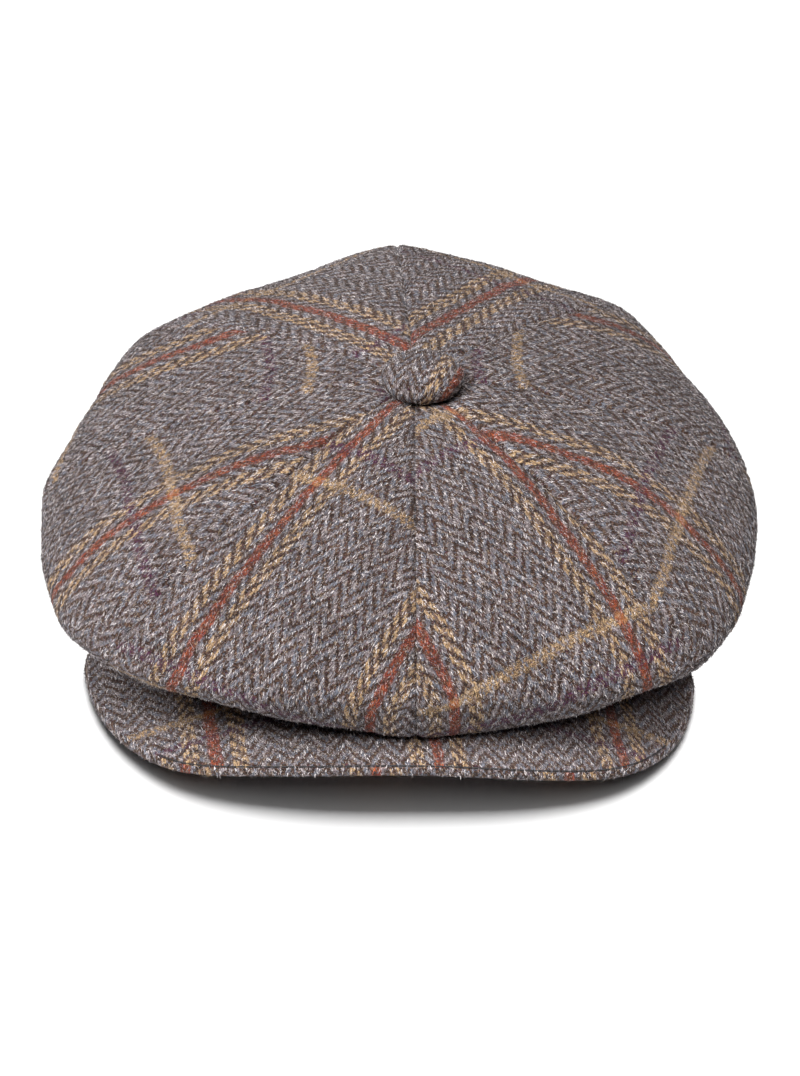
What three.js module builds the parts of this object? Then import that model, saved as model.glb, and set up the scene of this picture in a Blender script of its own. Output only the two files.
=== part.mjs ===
// Eight-panel tweed cap with a covered button and a stitched peak, resting on its band.
// Millimetres, +Z up, the peak points to -Y. Left and right are as seen from the front.
import * as THREE from "three";

// Cloth
const WALL = 2; // tweed with its facing
const GAP = 0.3; // clearance between neighbouring pieces

// Head band: an oval ring whose lower edge is flat, and arches up over the brow where the peak is sewn on
const BAND = { halfWidth: 86, halfLength: 100, y: 2, height: 28, wall: 2.5, sides: 72 };
const BROW = { rise: 17, span: 70 };
const CROWN_JOIN = 23; // height on the band at which the crown is sewn to it

// Crown: the eight gores meet on an upright axis, a little to the right and in front of the band's middle
const CROWN = { x: 6.4, y: -11.3, crest: 81.8, eye: 4 };
const FULLNESS = 1.52; // 2 makes the crown an ellipse, less makes it more of a tent
const PUFF = 0.9; // how far a gore swells between its two seams
const DIMPLE = { depth: 2.6, radius: 23 }; // the button draws the cloth in

// One row for each seam, from the front round to the right. turn is the seam's angle, reach and girth are the
// radius and height of its outermost point, foldIn and foldZ how far in and how low the cloth then turns
// under, and flat how straight the edge runs from this seam to the next: 0 is round, 1 a straight line.
const SEAMS = [
  { seam: "front", turn: 0, reach: 127, girth: 39.5, foldIn: 12, foldZ: 20.5, flat: 0.3 },
  { seam: "front_right", turn: 41, reach: 138, girth: 37.5, foldIn: 14, foldZ: 27.5, flat: 0.5 },
  { seam: "right", turn: 92, reach: 117.5, girth: 37.5, foldIn: 16, foldZ: 19, flat: 0.25 },
  { seam: "back_right", turn: 140, reach: 127.5, girth: 44.5, foldIn: 16, foldZ: 20, flat: 0.85 },
  { seam: "back", turn: 182.5, reach: 142.5, girth: 46.5, foldIn: 16, foldZ: 21, flat: 1 },
  { seam: "back_left", turn: 229, reach: 136, girth: 39.5, foldIn: 16, foldZ: 18, flat: 0.85 },
  { seam: "left", turn: 272, reach: 130, girth: 35.5, foldIn: 16, foldZ: 17, flat: 0.5 },
  { seam: "front_left", turn: 317.5, reach: 148, girth: 42.5, foldIn: 14, foldZ: 33.5, flat: 0.3 },
];

// The gore that follows each seam
const PANELS = [
  "panel_front_right",
  "panel_right_front",
  "panel_right_back",
  "panel_back_right",
  "panel_back_left",
  "panel_left_back",
  "panel_left_front",
  "panel_front_left",
];

// Rows of cloth from the button to the band: over the dome, round the fold and back under
const ROWS = { dome: 12, fold: 7, under: 5 };
const COLUMNS = 10;

// Button, sewn on a little off the axis
const BUTTON = { radius: 14.3, height: 9, x: 2.5, y: -2.5, square: 2.4, sides: 28, steps: 7 };

// Peak: a board that droops to both sides, squared at the front and rounded off to the band at its ends
const PEAK = { front: -141.6, widest: -41, thick: 4 };
const PEAK_LEFT = { halfWidth: 107, square: 2.75 };
const PEAK_RIGHT = { halfWidth: 104.5, square: 3.6 };
const PEAK_RISE = { front: 18.5, droop: 18, slope: 0.06 };
const PEAK_END = 66; // angle on the band at which the peak ends
const PEAK_TAPER = 0.86; // share of the half width at which an end begins to round off
const PEAK_TIP = 0.1; // share of the width that is left at the very end
const PEAK_EDGE = 1; // bevel of its edge
const PEAK_GRID = { columns: 32, rows: 7 };

const TWEED = { color: 0x6b625c, roughness: 0.95, metalness: 0 };

const radians = THREE.MathUtils.degToRad;
const mix = THREE.MathUtils.lerp;

// Smooth curve through the seams' values of one column, at share w of the way from seam k to the next
function roundSeams(column, k, w) {
  const [a, b, c, d] = [-1, 0, 1, 2].map((step) => SEAMS[(k + step + SEAMS.length) % SEAMS.length][column]);
  const bend = 2 * a - 5 * b + 4 * c - d;
  const twist = 3 * b - a - 3 * c + d;
  return 0.5 * (2 * b + (c - a) * w + bend * w * w + twist * w ** 3);
}

function seamTurn(k) {
  return radians(SEAMS[k % SEAMS.length].turn + (k < SEAMS.length ? 0 : 360));
}

// Height of the band's lower edge at angle q round its oval, 0 at the front
function bandEdge(q) {
  const share = Math.min(1, Math.acos(Math.cos(q)) / radians(BROW.span));
  return BROW.rise * (1 - share * share) ** 2;
}

function bandPoint(q, grow = 0) {
  const x = (BAND.halfWidth + grow) * Math.sin(q);
  const y = BAND.y - (BAND.halfLength + grow) * Math.cos(q);
  return new THREE.Vector2(x, y);
}

// Where a ray from the crown's axis at angle phi meets the band's outer face
function bandOnRay(phi, grow) {
  const a = BAND.halfWidth + grow;
  const b = BAND.halfLength + grow;
  const [ox, oy] = [CROWN.x / a, (CROWN.y - BAND.y) / b];
  const [dx, dy] = [Math.sin(phi) / a, -Math.cos(phi) / b];
  const square = dx * dx + dy * dy;
  const half = ox * dx + oy * dy;
  const reach = (Math.sqrt(half * half - square * (ox * ox + oy * oy - 1)) - half) / square;
  return { reach, q: Math.atan2(ox + reach * dx, -(oy + reach * dy)) };
}

// Outer face of gore k at share w between its seams, from the eye to the band, as (radius, height)
function goreSection(k, w) {
  const phi = mix(seamTurn(k), seamTurn(k + 1), w);
  const span = seamTurn(k + 1) - seamTurn(k);
  const [girth, foldIn, foldZ, flat] = ["girth", "foldIn", "foldZ", "flat"].map((c) => roundSeams(c, k, w));
  const chord = 1 - flat * (1 - Math.cos(span / 2)) * Math.sin(Math.PI * w);
  const reach = roundSeams("reach", k, w) * chord;
  const join = bandOnRay(phi, GAP);
  const joinZ = bandEdge(join.q) + CROWN_JOIN;
  const power = 2 / FULLNESS;
  const eyeAngle = Math.asin((CROWN.eye / reach) ** (1 / power));
  const points = [];
  for (let i = 0; i < ROWS.dome; i++) {
    const angle = mix(eyeAngle, Math.PI / 2, i / ROWS.dome);
    const r = reach * Math.sin(angle) ** power;
    const dip = DIMPLE.depth * Math.max(0, 1 - (r / DIMPLE.radius) ** 2) ** 2;
    points.push(new THREE.Vector2(r, mix(girth, CROWN.crest, Math.cos(angle) ** power) - dip));
  }
  for (let i = 0; i < ROWS.fold; i++) {
    const angle = (i / ROWS.fold) * (Math.PI / 2);
    points.push(new THREE.Vector2(reach - foldIn * (1 - Math.cos(angle)), mix(girth, foldZ, Math.sin(angle))));
  }
  for (let i = 0; i <= ROWS.under; i++) {
    const share = i / ROWS.under;
    const rise = share * share * (3 - 2 * share);
    points.push(new THREE.Vector2(mix(reach - foldIn, join.reach, share), mix(foldZ, joinZ, rise)));
  }
  return points;
}

// Unit vectors from each point of a section into the cap, upright at both ends
function inward(points) {
  return points.map((point, i) => {
    if (i === 0) return new THREE.Vector2(0, -1);
    if (i === points.length - 1) return new THREE.Vector2(0, 1);
    const along = points[i + 1].clone().sub(points[i - 1]).normalize();
    return new THREE.Vector2(along.y, -along.x);
  });
}

function moved(points, directions, distance) {
  return points.map((point, i) => point.clone().addScaledVector(directions[i], distance(i)));
}

// Closed wall between an outer and an inner grid of points. Seen from outside, rows run down and columns to
// the right of a row that is followed outwards.
function wall(outer, inner) {
  const rows = outer.length;
  const columns = outer[0].length;
  const at = (i, j) => i * columns + j;
  const under = rows * columns;
  const index = [];
  for (let i = 0; i + 1 < rows; i++) {
    for (let j = 0; j + 1 < columns; j++) {
      const [a, b, c, d] = [at(i, j), at(i + 1, j), at(i + 1, j + 1), at(i, j + 1)];
      index.push(a, b, c, a, c, d);
      index.push(under + a, under + c, under + b, under + a, under + d, under + c);
    }
  }
  const border = [];
  for (let i = 0; i + 1 < rows; i++) border.push(at(i, 0));
  for (let j = 0; j + 1 < columns; j++) border.push(at(rows - 1, j));
  for (let i = rows - 1; i > 0; i--) border.push(at(i, columns - 1));
  for (let j = columns - 1; j > 0; j--) border.push(at(0, j));
  border.forEach((p, n) => {
    const q = border[(n + 1) % border.length];
    index.push(q, p, under + p, q, under + p, under + q);
  });
  return meshGeometry([...outer.flat(), ...inner.flat()], index);
}

// Closed ring through a loop of sections, each a loop of points that goes round anticlockwise from outside
function ring(sections) {
  const size = sections[0].length;
  const at = (s, p) => (s % sections.length) * size + (p % size);
  const index = [];
  for (let s = 0; s < sections.length; s++) {
    for (let p = 0; p < size; p++) {
      const [a, b, c, d] = [at(s, p), at(s + 1, p), at(s + 1, p + 1), at(s, p + 1)];
      index.push(a, b, c, a, c, d);
    }
  }
  return meshGeometry(sections.flat(), index);
}

function meshGeometry(points, index) {
  const geometry = new THREE.BufferGeometry().setFromPoints(points);
  geometry.setIndex(index);
  geometry.computeVertexNormals();
  return geometry;
}

// One gore. Its long sides stay half a gap away from the upright planes of its two seams.
function goreGeometry(k) {
  const grids = { outer: [], inner: [] };
  for (let j = 0; j <= COLUMNS; j++) {
    const w = j / COLUMNS;
    const flatSection = goreSection(k, w);
    const last = flatSection.length - 1;
    const swell = (i) => -PUFF * 4 * w * (1 - w) * Math.sin((Math.PI * i) / last) ** 2;
    const outer = moved(flatSection, inward(flatSection), swell);
    const sides = { outer, inner: moved(outer, inward(outer), () => WALL) };
    for (const [side, section] of Object.entries(sides)) {
      section.forEach(({ x: r, y: z }, i) => {
        const clear = Math.asin(GAP / 2 / r);
        const phi = mix(seamTurn(k) + clear, seamTurn(k + 1) - clear, w);
        const point = new THREE.Vector3(CROWN.x + r * Math.sin(phi), CROWN.y - r * Math.cos(phi), z);
        (grids[side][i] ??= []).push(point);
      });
    }
  }
  return wall(grids.outer, grids.inner);
}

function bandGeometry() {
  const sections = [];
  for (let s = 0; s < BAND.sides; s++) {
    const q = (s / BAND.sides) * 2 * Math.PI;
    const low = bandEdge(q);
    const outer = bandPoint(q);
    const inner = bandPoint(q, -BAND.wall);
    sections.push([
      new THREE.Vector3(outer.x, outer.y, low),
      new THREE.Vector3(outer.x, outer.y, low + BAND.height),
      new THREE.Vector3(inner.x, inner.y, low + BAND.height),
      new THREE.Vector3(inner.x, inner.y, low),
    ]);
  }
  return ring(sections);
}

// Outer edge of the peak's top at a, -1 to 1 from left to right
function peakEdge(a) {
  const { halfWidth, square } = a < 0 ? PEAK_LEFT : PEAK_RIGHT;
  const angle = (a * Math.PI) / 2;
  const side = Math.sign(a) * Math.abs(Math.sin(angle)) ** (2 / square);
  const y = mix(PEAK.widest, PEAK.front, Math.abs(Math.cos(angle)) ** (2 / square));
  const z = PEAK_RISE.front - PEAK_RISE.droop * side * side + PEAK_RISE.slope * (y - PEAK.front);
  return new THREE.Vector3(halfWidth * side, y, z);
}

// Top of the peak at a, -1 to 1 from left to right, and b, 0 at the band to 1 at the edge
function peakPoint(a, b) {
  const q = a * radians(PEAK_END);
  const root = bandPoint(q, GAP);
  const past = Math.max(0, (Math.abs(a) - PEAK_TAPER) / (1 - PEAK_TAPER));
  const share = b * Math.max(PEAK_TIP, Math.sqrt(1 - past * past));
  return new THREE.Vector3(root.x, root.y, bandEdge(q) + PEAK.thick).lerp(peakEdge(a), share);
}

function peakGeometry() {
  const { columns, rows } = PEAK_GRID;
  const bevelShare = 1 - PEAK_EDGE / (BAND.y - BAND.halfLength - PEAK.front);
  const steps = [...Array(rows).keys()].map((i) => (bevelShare * i) / (rows - 1));
  const grid = (lower, bevel) =>
    [...steps, 1].map((b, i) =>
      Array.from({ length: columns + 1 }, (_, j) => {
        const point = peakPoint((2 * j) / columns - 1, b);
        point.z += (i === rows ? bevel : 0) - lower;
        return point;
      }),
    );
  return wall(grid(0, -PEAK_EDGE), grid(PEAK.thick, PEAK_EDGE));
}

// Highest point of the crown within the button's reach
function buttonSeat() {
  const reach = BUTTON.radius + Math.hypot(BUTTON.x, BUTTON.y);
  const heights = SEAMS.flatMap((_, k) =>
    goreSection(k, 0)
      .filter((point) => point.x < reach)
      .map((point) => point.y),
  );
  return Math.max(...heights);
}

// Covered button: a flat underside, a rolled rim and a domed top
function buttonGeometry() {
  const { radius, height, square, steps, sides } = BUTTON;
  const rim = height / 3;
  const profile = [new THREE.Vector2(0, 0), new THREE.Vector2(radius - rim, 0)];
  for (let i = 1; i < steps; i++) {
    const angle = (i / steps) * (Math.PI / 2);
    profile.push(new THREE.Vector2(radius - rim * (1 - Math.sin(angle)), rim * (1 - Math.cos(angle))));
  }
  for (let i = 0; i < steps; i++) {
    const angle = (i / steps) * (Math.PI / 2);
    const out = Math.cos(angle) ** (2 / square);
    const up = Math.sin(angle) ** (2 / square);
    profile.push(new THREE.Vector2(radius * out, mix(rim, height, up)));
  }
  profile.push(new THREE.Vector2(0, height));
  return new THREE.LatheGeometry(profile, sides);
}

const cap = new THREE.Group();

function addPiece(name, geometry) {
  const mesh = new THREE.Mesh(geometry, new THREE.MeshStandardMaterial(TWEED));
  mesh.name = name;
  cap.add(mesh);
  return mesh;
}

PANELS.forEach((name, k) => addPiece(name, goreGeometry(k)));
addPiece("head_band", bandGeometry());
addPiece("peak", peakGeometry());
const button = addPiece("top_button", buttonGeometry());
button.rotation.x = Math.PI / 2;
button.position.set(CROWN.x + BUTTON.x, CROWN.y + BUTTON.y, buttonSeat() + GAP);

// The origin is on the surface that the cap rests on, under the middle of its outline
const box = new THREE.Box3().setFromObject(cap);
const middle = box.getCenter(new THREE.Vector3());
cap.children.forEach((mesh) => mesh.position.sub(new THREE.Vector3(middle.x, middle.y, box.min.z)));

export default cap;
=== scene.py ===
# %% [markdown]
# An eight-panel tweed cap. Eight wedge-shaped gores are sewn into a full crown, a covered button hides the
# point where they meet, a band goes round the head and a stitched peak shades the eyes.
# The cap already exists as plain solids. This lesson keeps their places and sizes, and gives each of them
# the surface of the real thing: cloth that swells between its seams, a herringbone tweed with a coloured
# check, a stitched edge and a nap of loose wool.
# We start by loading the solids and noting the box that they fill. Sizes are in millimetres from the zero of
# the cap's paper pattern, and HOME says where that zero lies in the frame, in metres.

# %% Load the plain cap
import math

import bpy
import numpy as np
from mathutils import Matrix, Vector


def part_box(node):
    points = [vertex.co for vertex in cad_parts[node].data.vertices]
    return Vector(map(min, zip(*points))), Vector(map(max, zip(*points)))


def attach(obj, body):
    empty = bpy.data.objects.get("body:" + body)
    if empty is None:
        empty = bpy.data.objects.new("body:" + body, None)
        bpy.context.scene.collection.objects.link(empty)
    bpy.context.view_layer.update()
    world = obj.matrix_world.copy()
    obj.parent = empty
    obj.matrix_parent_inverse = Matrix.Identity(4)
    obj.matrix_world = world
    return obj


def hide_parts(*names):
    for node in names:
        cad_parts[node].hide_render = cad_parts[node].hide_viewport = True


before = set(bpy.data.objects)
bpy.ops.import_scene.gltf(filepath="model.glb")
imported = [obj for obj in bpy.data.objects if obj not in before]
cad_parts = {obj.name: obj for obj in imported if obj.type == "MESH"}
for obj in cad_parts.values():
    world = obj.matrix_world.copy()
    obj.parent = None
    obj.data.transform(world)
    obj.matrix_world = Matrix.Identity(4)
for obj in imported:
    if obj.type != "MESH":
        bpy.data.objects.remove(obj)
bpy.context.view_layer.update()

MM = 0.001
BAND = {"half_width": 86.0, "half_length": 100.0, "y": 2.0, "wall": 2.5}
band_low, band_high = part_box("head_band")
HOME = np.array([
    (band_low.x + band_high.x) / 2, (band_low.y + band_high.y) / 2 - BAND["y"] * MM, band_low.z,
])
print("solids:", sorted(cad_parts))
print("the pattern's own zero lies at", HOME.round(5))

# %% [markdown]
# The photograph looks down on the cap from the front, from about a metre away with a longish lens. Setting
# the camera before anything else means that every later choice is judged from the right place. The lens is
# given for an upright picture, so the sensor is fitted to the picture's height.

# %% Camera at the photograph's angle
def placed(name, data):
    """An object that holds the data, linked into the scene."""
    thing = bpy.data.objects.new(name, data)
    bpy.context.scene.collection.objects.link(thing)
    return thing


def aimed(thing, at, target):
    """Puts a camera or a lamp in its place, facing the target, and returns the way it faces."""
    thing.location = at
    way = Vector(target) - thing.location
    thing.rotation_euler = way.to_track_quat("-Z", "Y").to_euler()
    return way


camera_data = bpy.data.cameras.new("camera")
camera_data.sensor_fit = "VERTICAL"
camera_data.sensor_height = 36
camera_data.lens = 102.7
camera_data.clip_end = 50
camera = placed("camera", camera_data)
aim = aimed(camera, (-0.00031, -0.8846, 0.6601), (0.00098, -0.01075, 0.01703))
bpy.context.scene.camera = camera
print("camera looks down at", round(math.degrees(math.asin(-aim.normalized().z)), 1), "degrees")

# %% [markdown]
# Each gore runs from the button over the dome, round a soft fold and back under to the band. A cutter would
# describe it by a few sizes at each seam, and that is what the table holds: the angle of the seam, how far
# out and how high its fullest point lies, how far in and how low the cloth then folds, and how straight the
# edge runs to the next seam. A smooth curve through the eight rows gives every place in between, so the
# crown follows one rule and neighbouring gores always meet.

# %% The sizes of the crown
BROW = {"rise": 17.0, "span": 70.0}
CROWN = {"x": 6.4, "y": -11.3, "crest": 81.8, "eye": 4.0, "join": 23.0, "fullness": 1.52}
DIMPLE = {"depth": 2.6, "radius": 23.0}
BRIM_LIFTS = ((-29, 19, 3.4), (40, 14, 2.3))
LIFT_ROWS = {"from": 0.5, "over": 0.8}
CLOTH_WALL, SEAM_GAP, SEAM_CLEAR = 2.0, 0.3, 0.03
SEAM_COLUMNS = ("turn", "reach", "girth", "fold_in", "fold_z", "flat")
SEAMS = np.array([
    (0.0, 127.0, 39.5, 12.0, 20.5, 0.30),
    (41.0, 138.0, 37.5, 14.0, 27.5, 0.50),
    (92.0, 117.5, 37.5, 16.0, 19.0, 0.25),
    (140.0, 127.5, 44.5, 16.0, 20.0, 0.85),
    (182.5, 142.5, 46.5, 16.0, 21.0, 1.00),
    (229.0, 136.0, 39.5, 16.0, 18.0, 0.85),
    (272.0, 130.0, 35.5, 16.0, 17.0, 0.50),
    (317.5, 148.0, 42.5, 14.0, 33.5, 0.30),
])
GORES = (
    "panel_front_right", "panel_right_front", "panel_right_back", "panel_back_right",
    "panel_back_left", "panel_left_back", "panel_left_front", "panel_front_left",
)


def between_seams(column, k, w):
    """A seam size of gore k at share w of the way from its first seam to its second."""
    c = SEAM_COLUMNS.index(column)
    before, first, second, after = (SEAMS[(k + step) % 8, c] for step in (-1, 0, 1, 2))
    bend = 2 * before - 5 * first + 4 * second - after
    twist = 3 * first - before - 3 * second + after
    return 0.5 * (2 * first + (second - before) * w + bend * w**2 + twist * w**3)


def seam_turn(k):
    return math.radians(SEAMS[k % 8, 0] + (0 if k < 8 else 360))


def band_edge(q):
    share = np.minimum(1, np.arccos(np.clip(np.cos(q), -1, 1)) / math.radians(BROW["span"]))
    return BROW["rise"] * (1 - share**2) ** 2


def band_on_ray(phi, grow):
    """Distance from the crown's axis to the band along angle phi, and the angle round the band there."""
    a, b = BAND["half_width"] + grow, BAND["half_length"] + grow
    ox, oy = CROWN["x"] / a, (CROWN["y"] - BAND["y"]) / b
    dx, dy = np.sin(phi) / a, -np.cos(phi) / b
    square, half = dx * dx + dy * dy, ox * dx + oy * dy
    reach = (np.sqrt(half**2 - square * (ox**2 + oy**2 - 1)) - half) / square
    return reach, np.arctan2(ox + reach * dx, -(oy + reach * dy))


print("largest reach of the crown:", SEAMS[:, 1].max(), "mm")

# %% [markdown]
# Now the surface itself, as radius and height over the angle. The rows follow t: 0 to 1 over the dome, 1 to
# 2 round the fold, 2 to 3 under to the band. Working in radius and height keeps each seam in one upright
# plane, so whatever we add to one gore at its seam, the neighbour adds too. The worn cloth is also lifted a
# little at two places of the front edge, as the photograph shows.

# %% From the table to a surface
def gore_section(k, w, t):
    """Radius, height and angle of gore k on a grid of shares w (across) and rows t (along)."""
    phi = seam_turn(k) + (seam_turn(k + 1) - seam_turn(k)) * w
    chord = 1 - math.cos((seam_turn(k + 1) - seam_turn(k)) / 2)
    reach = between_seams("reach", k, w) * (1 - between_seams("flat", k, w) * chord * np.sin(np.pi * w))
    girth, fold_in, fold_z = (between_seams(c, k, w) for c in ("girth", "fold_in", "fold_z"))
    join, q = band_on_ray(phi, SEAM_GAP)
    join_z = band_edge(q) + CROWN["join"]
    power = 2 / CROWN["fullness"]
    eye = np.arcsin((CROWN["eye"] / reach) ** (1 / power))
    over = eye + (np.pi / 2 - eye) * np.clip(t, 0, 1)
    fold = np.clip(t - 1, 0, 1) * np.pi / 2
    under = np.clip(t - 2, 0, 1)
    r_over = reach * np.sin(over) ** power
    dip = DIMPLE["depth"] * np.clip(1 - (r_over / DIMPLE["radius"]) ** 2, 0, 1) ** 2
    z_over = girth + (CROWN["crest"] - girth) * np.cos(over) ** power - dip
    r_fold, z_fold = reach - fold_in * (1 - np.cos(fold)), girth + (fold_z - girth) * np.sin(fold)
    rise = under * under * (3 - 2 * under)
    r_under = (reach - fold_in) + (join - reach + fold_in) * under
    z_under = fold_z + (join_z - fold_z) * rise
    r = np.where(t <= 1, r_over, np.where(t <= 2, r_fold, r_under))
    z = np.where(t <= 1, z_over, np.where(t <= 2, z_fold, z_under))
    facing = np.degrees(np.arctan2(np.sin(phi), np.cos(phi)))
    lift = sum(high * np.exp(-(((facing - at) / wide) ** 4)) for at, wide, high in BRIM_LIFTS)
    begun = np.clip((t - LIFT_ROWS["from"]) / LIFT_ROWS["over"], 0, 1)
    z = z + lift * np.sin(np.pi / 2 * begun) ** 2 * np.clip(3 - t, 0, 1)
    return r, z, phi + 0 * t


def outward(r, z):
    """Unit directions away from the cap in the upright plane of each column."""
    dr, dz = np.gradient(r, axis=0), np.gradient(z, axis=0)
    size = np.hypot(dr, dz)
    return -dz / size, dr / size


def in_space(r, z, phi):
    return np.stack([CROWN["x"] + r * np.sin(phi), CROWN["y"] - r * np.cos(phi), z], -1)


near_seam = np.array([0, 0.003, 0.007, 0.012, 0.019, 0.028, 0.04])
SHARES = np.concatenate([near_seam, np.linspace(0.06, 0.94, 40), 1 - near_seam[::-1]])[None, :]
ROWS = np.concatenate([np.linspace(0, 1, 86), np.linspace(1, 2, 27)[1:], np.linspace(2, 3, 15)[1:]])[:, None]
print("a gore has", ROWS.size, "rows and", SHARES.size, "columns")

# %% [markdown]
# Tweed is woven flat, so its pattern has to be worked out on the flat piece that the cutter cut. A gore is
# close to a slice of a cone: its rows are arcs round the button. We measure U across and V along the gore on
# the surface, then bend each row into its arc. The result is kept as a UV map in metres: first across the
# warp, then along it.

# %% How each gore was cut from the cloth
CUT_COLUMNS = ("rust_at", "rust_lean", "rust_bow", "inner_bow", "ease", "straw_at", "straw_lean", "way")
CUTS = {
    "panel_front_right": (18.1, 0.218, -0.0008, -0.0021, 1, 124.0, -0.37, 1),
    "panel_right_front": (-9.1, 0.208, -0.0051, 0, 0.86, 102.3, 0.07, -1),
    "panel_right_back": (36.7, -0.16, -0.0025, 0, 0.78, 40.1, 0.36, -1),
    "panel_back_right": (1.3, -0.237, 0.0013, 0, 0.76, 12.5, 0.22, -1),
    "panel_back_left": (3.8, 0.258, 0.0009, 0, 0.76, 12.5, -0.25, 1),
    "panel_left_back": (-33.1, 0.50, -0.0026, 0, 0.78, 38.0, -0.33, 1),
    "panel_left_front": (11.7, -0.204, 0.0028, 0, 0.86, 92.6, 0.02, 1),
    "panel_front_left": (-12.2, -0.244, 0.0005, 0, 1, 60.6, 0.37, -1),
}
BOW_FROM = 60.0


def paced(points):
    """Distance from the first point to each of the others, along a line or along every row of a grid."""
    steps = np.linalg.norm(np.diff(points, axis=-2), axis=-1)
    return np.concatenate([0 * steps[..., :1], np.cumsum(steps, axis=-1)], axis=-1)


def flat_piece(points):
    """Flat coordinates U and V of a grid of surface points, rows bent into arcs, and distance from a seam."""
    half = points.shape[1] // 2
    along = paced(points[:, half]) + CROWN["eye"]
    across = paced(points)
    from_seam = np.minimum(across, across[:, -1:] - across)
    curve = np.gradient(np.log(across[:, -1]), along)[:, None]
    across = across - across[:, half - 1:half + 1].mean(axis=1, keepdims=True)
    u = across * (1 - (curve * across) ** 2 / 6)
    return u, along[:, None] - curve * across**2 / 2, from_seam


def on_cloth(name, u, v):
    """Place on the cloth: millimetres across the warp from a rust stripe, and along it from a straw one."""
    cut = dict(zip(CUT_COLUMNS, CUTS[name]))
    past, before = np.maximum(v - BOW_FROM, 0), np.maximum(BOW_FROM - v, 0)
    bow = cut["rust_bow"] * past**2 + cut["inner_bow"] * before**2
    rust = cut["rust_at"] + cut["rust_lean"] * (v - BOW_FROM) + bow
    straw = cut["straw_at"] + cut["straw_lean"] * u
    s = (u - rust) * math.cos(math.atan(cut["rust_lean"])) * cut["ease"] * cut["way"]
    length = (v - straw) * math.cos(math.atan(cut["straw_lean"])) * cut["way"]
    return np.stack([s, length], -1)


print("gores on the cloth:", len(CUTS))

# %% [markdown]
# Materials are trees of nodes. The weave needs a lot of arithmetic, and a Math node for each plus sign would
# bury the idea, so a small class lets a value in the tree be added, multiplied and compared as a number is.
# Each sign still becomes one Math node. A value knows its tree, so the helpers need not be told.

# %% Arithmetic that builds nodes
class Flow:
    """A value on its way through a shader tree."""

    def __init__(self, tree, socket):
        self.tree, self.socket = tree, socket

    def maths(self, operation, *others):
        node = self.tree.nodes.new("ShaderNodeMath")
        node.operation = operation
        for socket, value in zip(node.inputs, (self, *others)):
            feed(self.tree, socket, value)
        return Flow(self.tree, node.outputs[0])

    def __add__(self, other):
        return self.maths("ADD", other)

    def __sub__(self, other):
        return self.maths("SUBTRACT", other)

    def __mul__(self, other):
        return self.maths("MULTIPLY", other)

    def __truediv__(self, other):
        return self.maths("DIVIDE", other)

    def size(self):
        return self.maths("ABSOLUTE")

    def step(self, low, high):
        """0 below low, 1 above high and a soft ramp between."""
        node = self.tree.nodes.new("ShaderNodeMapRange")
        node.interpolation_type = "SMOOTHSTEP"
        feed(self.tree, node.inputs["Value"], self)
        node.inputs["From Min"].default_value = low
        node.inputs["From Max"].default_value = high
        return Flow(self.tree, node.outputs["Result"])

    def below(self, low, high):
        return self.step(low, high) * -1 + 1


def feed(tree, socket, value):
    if isinstance(value, Flow):
        value = value.socket
    if isinstance(value, bpy.types.NodeSocket):
        tree.links.new(value, socket)
    else:
        socket.default_value = value


def together(x, y, z=0.0):
    node = x.tree.nodes.new("ShaderNodeCombineXYZ")
    for socket, value in zip(node.inputs, (x, y, z)):
        feed(x.tree, socket, value)
    return node.outputs[0]


def apart(tree, vector):
    node = tree.nodes.new("ShaderNodeSeparateXYZ")
    feed(tree, node.inputs[0], vector)
    return [Flow(tree, socket) for socket in node.outputs]


def wool(x, y, layer, detail=1.0):
    """Smooth noise on a plane of its own, as three values about one half."""
    node = x.tree.nodes.new("ShaderNodeTexNoise")
    feed(x.tree, node.inputs["Vector"], together(x, y, layer))
    node.inputs["Scale"].default_value = 1
    node.inputs["Detail"].default_value = detail
    return apart(x.tree, node.outputs["Color"])


def chance(x, y):
    """An even random number for each cell."""
    node = x.tree.nodes.new("ShaderNodeTexWhiteNoise")
    node.noise_dimensions = "2D"
    feed(x.tree, node.inputs["Vector"], together(x, y))
    return Flow(x.tree, node.outputs["Value"])


def dye(share, first, second):
    """Colour between two colours."""
    node = share.tree.nodes.new("ShaderNodeMix")
    node.data_type = "RGBA"
    feed(share.tree, node.inputs[0], share)
    for socket, colour in ((node.inputs[6], first), (node.inputs[7], second)):
        feed(share.tree, socket, colour if isinstance(colour, bpy.types.NodeSocket) else (*colour, 1))
    return node.outputs[2]


print("node helpers ready")

# %% [markdown]
# The tweed. The warp runs along the stripes and is pale grey wool with a blue cast, the weft crosses it and
# is dark brown. Each end goes over two picks and under two, one pick further than its neighbour: that gives
# a diagonal, and turning it after every six ends gives the columns of a herringbone. All colours are mixed
# fibres, so every yarn wanders in tone. An image of cloth would repeat and blur. Rules in nodes stay sharp
# at any distance and never repeat.

# %% The herringbone and the check
END, PICK = 0.862, 1.53
COLUMN_ENDS = 6
CHECK = {
    "warp": 12 * COLUMN_ENDS * END, "weft": 62 * PICK, "plum": 10 * PICK,
    "straw_ends": 6.4, "straw_apart": 1.15,
}
DYES = {
    "warp_dark": (0.108, 0.091, 0.097), "warp_pale": (0.405, 0.348, 0.360),
    "warp_blue": (0.235, 0.262, 0.325), "weft_dark": (0.015, 0.0090, 0.0078),
    "weft_pale": (0.165, 0.094, 0.068),
    "rust": (0.330, 0.058, 0.023), "rust_bright": (0.47, 0.112, 0.040), "rust_dark": (0.105, 0.022, 0.014),
    "straw": (0.67, 0.465, 0.260), "straw_dark": (0.29, 0.172, 0.084), "ember": (0.46, 0.165, 0.052),
    "plum": (0.095, 0.024, 0.074), "cream": (0.52, 0.41, 0.29), "blue": (0.13, 0.165, 0.23),
    "white": (0.78, 0.73, 0.735),
}


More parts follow.
